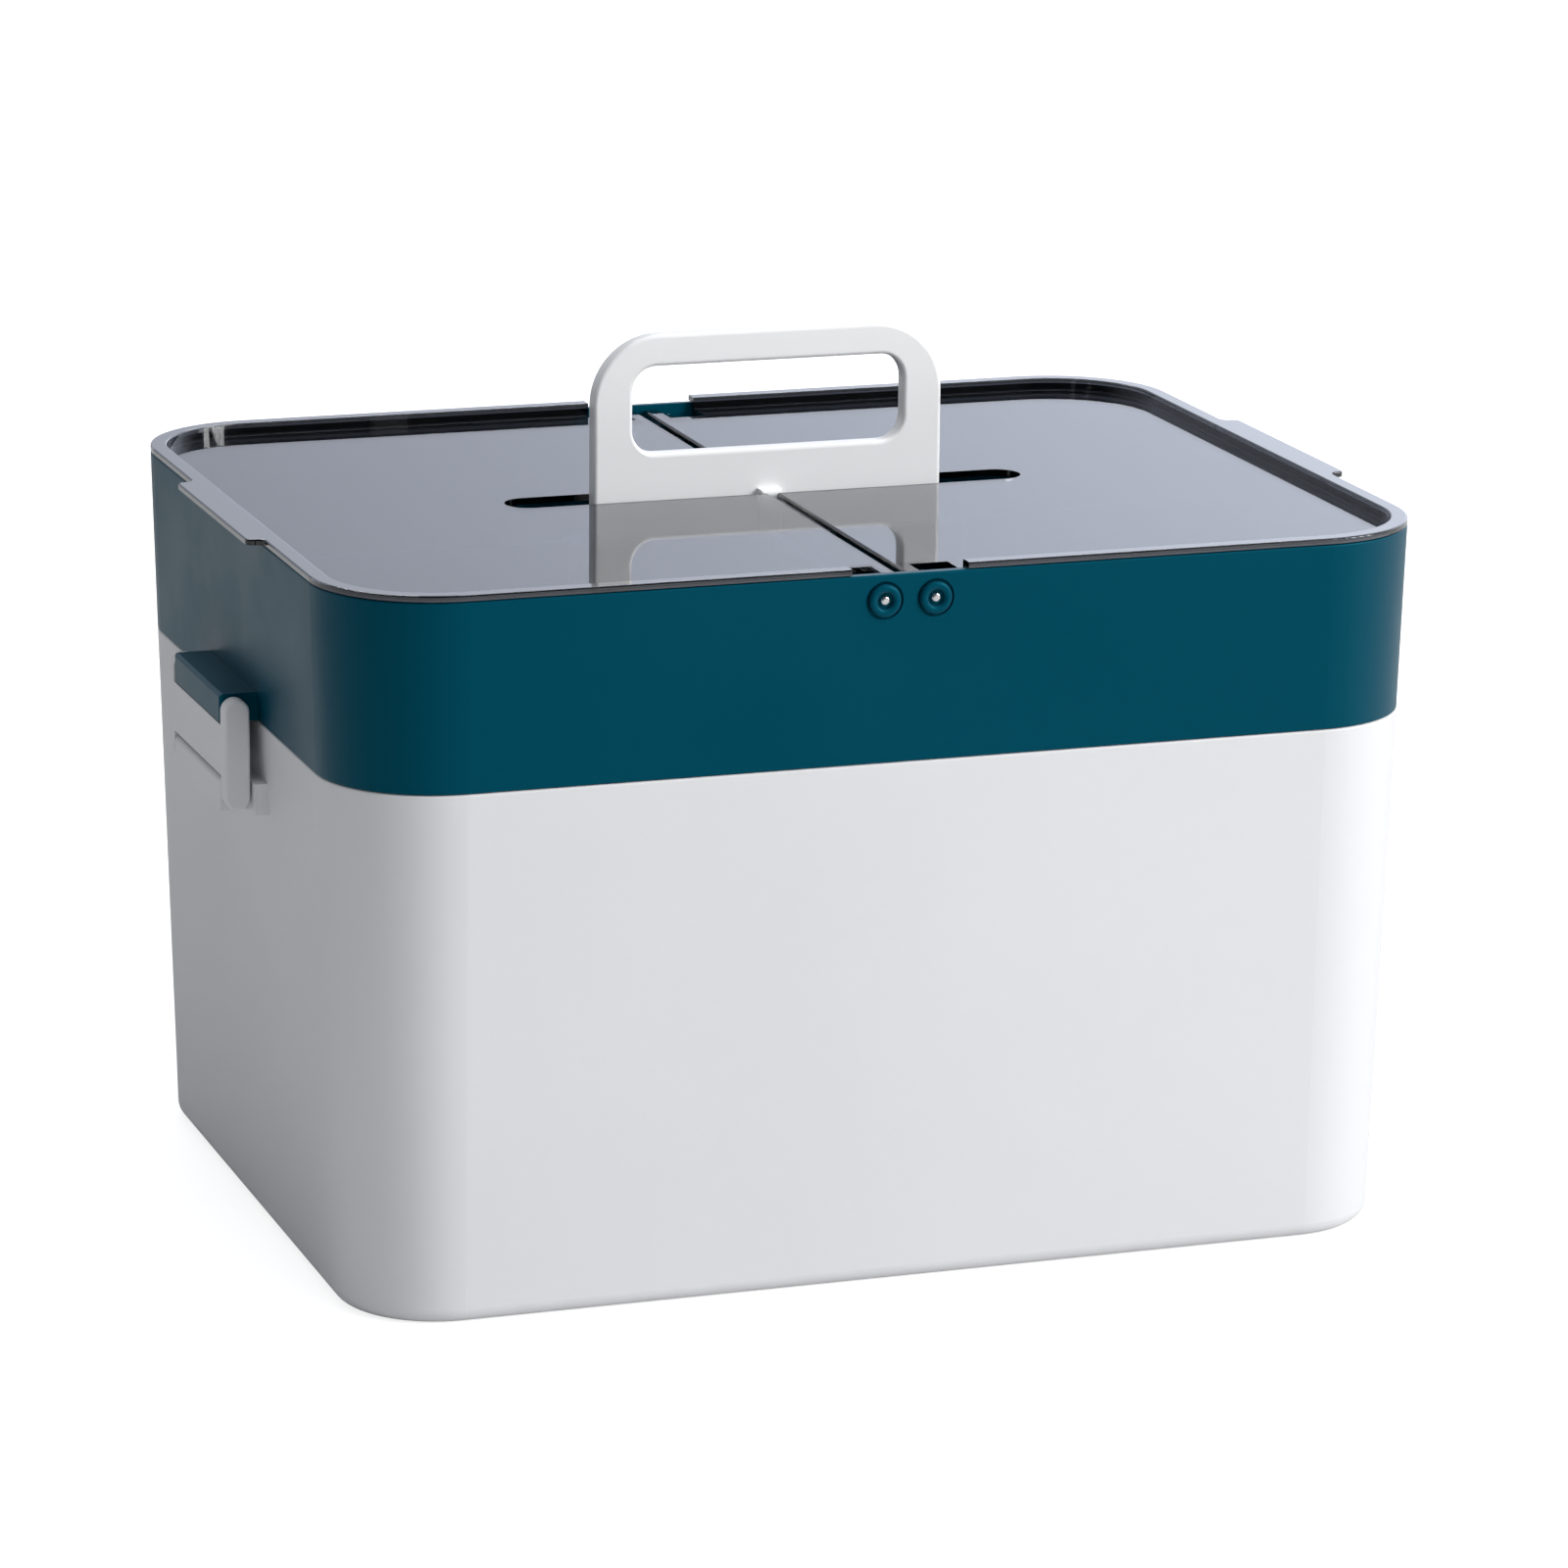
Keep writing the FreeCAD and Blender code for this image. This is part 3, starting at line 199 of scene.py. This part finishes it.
white_bin = moulded_plastic(
    "white_bin_plastic",
    shades=((0.743, 0.742, 0.757), (0.766, 0.765, 0.779)),
    roughness=(0.42, 0.50),
    grain_waves=2600,
    grain_depth=0.00002,
)
teal = moulded_plastic(
    "teal_plastic",
    shades=((0.000, 0.049, 0.082), (0.001, 0.053, 0.088)),
    roughness=(0.34, 0.42),
    grain_waves=2600,
    grain_depth=0.00002,
    shine=0.35,
    tint=(0.0, 0.6, 0.8),
)
# the handle's shades are lighter than the bin's same white plastic: painted light for the light
# the handle lacks
white_gloss_painted_light = moulded_plastic(
    "white_gloss_plastic",
    shades=((0.946, 0.944, 0.952), (0.960, 0.958, 0.966)),
    roughness=(0.16, 0.22),
    grain_waves=500,
    grain_depth=0.000008,
)
smoked = smoked_plastic()
steel = pin_steel()

FINISH_OF = {
    "lower_bin": white_bin,
    "clip": white_bin,
    "upper_tray": teal,
    "side_ledge": teal,
    "hinge_bush": teal,
    "carry_handle": white_gloss_painted_light,
    "lid": smoked,
    "hinge_pin": steel,
    "clip_pin": steel,
    "handle_screw": steel,
}


def finish_of(name):
    """The finish whose key is the longest start of a piece's name."""
    key = max((start for start in FINISH_OF if name.startswith(start)), key=len)
    return FINISH_OF[key]


for name, piece in nodes.items():
    piece.data.materials.clear()
    piece.data.materials.append(finish_of(name))


# Studio

FLOOR_SIZE = 12.0
FLOOR_GAP = 0.0002  # keeps the floor out of the plane of the foot ring
FLOOR_PAPER = (0.68, 0.68, 0.68, 1)
FLOOR_GLOW = 0.76  # lifts the paper to white where it is seen directly
SKY_STRENGTH = 0.345  # of the even sky that lights the box
SKY_LIGHT = (0.93, 0.965, 1.0, 1)  # its colour
SKY_MIRRORED = (0.80, 0.855, 0.99, 1)  # and its colour where the box mirrors it
BACK_SIDE = 1.9  # strength of the mirrored sky behind the box
CAMERA_SIDE = 0.25  # and towards the camera
LEFT_SIDE = 0.31  # share of it that is left towards the left
WHITE = (1, 1, 1, 1)


def make_world():
    """An even dim sky for the light. Seen directly it is white, and mirrored it is bright behind
    the box and falls off towards the camera and the left."""
    world = bpy.data.worlds.new("studio")
    bpy.context.scene.world = world
    world.use_nodes = True
    tree = world.node_tree
    tree.nodes.clear()
    output = tree.nodes.new("ShaderNodeOutputWorld")
    coordinates = tree.nodes.new("ShaderNodeTexCoord")
    direction = tree.nodes.new("ShaderNodeSeparateXYZ")
    tree.links.new(coordinates.outputs["Generated"], direction.inputs["Vector"])
    depth = slope(
        tree, direction.outputs["Y"], start=-0.35, end=0.45, low=CAMERA_SIDE, high=BACK_SIDE)
    across = slope(tree, direction.outputs["X"], start=0.1, end=0.6, low=LEFT_SIDE, high=1.0)
    mirrored = math_node(tree, "MULTIPLY", depth, across)

    path = tree.nodes.new("ShaderNodeLightPath")
    shiny = math_node(
        tree, "MAXIMUM", path.outputs["Is Glossy Ray"], path.outputs["Is Transmission Ray"])
    strength = tree.nodes.new("ShaderNodeMix")
    strength.data_type = "FLOAT"
    strength.inputs["A"].default_value = SKY_STRENGTH
    tree.links.new(shiny, strength.inputs["Factor"])
    tree.links.new(mirrored, strength.inputs["B"])
    tint = tree.nodes.new("ShaderNodeValToRGB")
    tint.color_ramp.elements[0].color = SKY_LIGHT
    tint.color_ramp.elements[1].color = SKY_MIRRORED
    tree.links.new(shiny, tint.inputs["Fac"])
    sky = tree.nodes.new("ShaderNodeBackground")
    tree.links.new(tint.outputs["Color"], sky.inputs["Color"])
    tree.links.new(strength.outputs["Result"], sky.inputs["Strength"])
    white = tree.nodes.new("ShaderNodeBackground")
    white.inputs["Color"].default_value = WHITE
    white.inputs["Strength"].default_value = 1.0
    mix = tree.nodes.new("ShaderNodeMixShader")
    tree.links.new(path.outputs["Is Camera Ray"], mix.inputs["Fac"])
    tree.links.new(sky.outputs["Background"], mix.inputs[1])
    tree.links.new(white.outputs["Background"], mix.inputs[2])
    tree.links.new(mix.outputs["Shader"], output.inputs["Surface"])


def make_floor():
    """A wide pale floor that keeps the box's shadow."""
    bpy.ops.object.select_all(action="DESELECT")
    bpy.ops.mesh.primitive_plane_add(size=FLOOR_SIZE, location=(0, 0, -FLOOR_GAP))
    floor = bpy.context.object
    floor.name = "studio_floor"
    material = bpy.data.materials.new("floor_paper")
    material.use_nodes = True
    tree = material.node_tree
    tree.nodes.clear()
    output = tree.nodes.new("ShaderNodeOutputMaterial")
    paper = tree.nodes.new("ShaderNodeBsdfDiffuse")
    paper.inputs["Color"].default_value = FLOOR_PAPER
    glow = tree.nodes.new("ShaderNodeEmission")
    glow.inputs["Strength"].default_value = FLOOR_GLOW
    path = tree.nodes.new("ShaderNodeLightPath")
    both = tree.nodes.new("ShaderNodeAddShader")
    mix = tree.nodes.new("ShaderNodeMixShader")
    tree.links.new(paper.outputs["BSDF"], both.inputs[0])
    tree.links.new(glow.outputs["Emission"], both.inputs[1])
    tree.links.new(path.outputs["Is Camera Ray"], mix.inputs["Fac"])
    tree.links.new(paper.outputs["BSDF"], mix.inputs[1])
    tree.links.new(both.outputs["Shader"], mix.inputs[2])
    tree.links.new(mix.outputs["Shader"], output.inputs["Surface"])
    floor.data.materials.append(material)


def make_lamp(name, place, target, width, height, watts):
    """A soft box that faces a target."""
    data = bpy.data.lights.new(name, "AREA")
    data.shape = "RECTANGLE"
    data.size = width
    data.size_y = height
    data.energy = watts
    lamp = bpy.data.objects.new(name, data)
    lamp.location = place
    lamp.rotation_mode = "QUATERNION"
    lamp.rotation_quaternion = (Vector(target) - Vector(place)).to_track_quat("-Z", "Y")
    bpy.context.collection.objects.link(lamp)
    return lamp


make_world()
make_floor()
make_lamp(
    "key_softbox", place=(1.78, -1.49, 1.32), target=(0, 0, 0.14), width=1.5, height=1.3, watts=57)
top_softbox = make_lamp(
    "top_softbox", place=(0.3, -0.5, 2.4), target=(0, 0, 0.2), width=1.2, height=1.2, watts=13)
top_softbox.visible_glossy = False  # not mirrored in the lids
make_lamp(
    "rear_strip", place=(0.35, 1.45, 1.55), target=(0, 0, 0.2), width=1.3, height=0.18, watts=9)


# Camera of the photograph

CAMERA_PLACE = (-0.6229, -1.8197, 0.6164)
CAMERA_AZIMUTH = 19.088  # degrees to the left of the front
CAMERA_ELEVATION = 14.512  # degrees above level
CAMERA_ROLL = 0.568  # degrees
CAMERA_LENS = 151.0  # millimetres
CAMERA_SENSOR = 36  # millimetres


def make_camera():
    """The camera, to the left of the front face and a little above it."""
    data = bpy.data.cameras.new("product_camera")
    data.sensor_width = CAMERA_SENSOR
    data.lens = CAMERA_LENS
    camera = bpy.data.objects.new("product_camera", data)
    azimuth = math.radians(CAMERA_AZIMUTH)
    elevation = math.radians(CAMERA_ELEVATION)
    back = Vector((
        -math.sin(azimuth) * math.cos(elevation),
        -math.cos(azimuth) * math.cos(elevation),
        math.sin(elevation),
    ))
    camera.location = CAMERA_PLACE
    camera.rotation_mode = "QUATERNION"
    level = (-back).to_track_quat("-Z", "Y")
    camera.rotation_quaternion = level @ Quaternion((0, 0, 1), math.radians(CAMERA_ROLL))
    bpy.context.collection.objects.link(camera)
    bpy.context.scene.camera = camera


make_camera()
bpy.context.scene.view_settings.view_transform = "Standard"
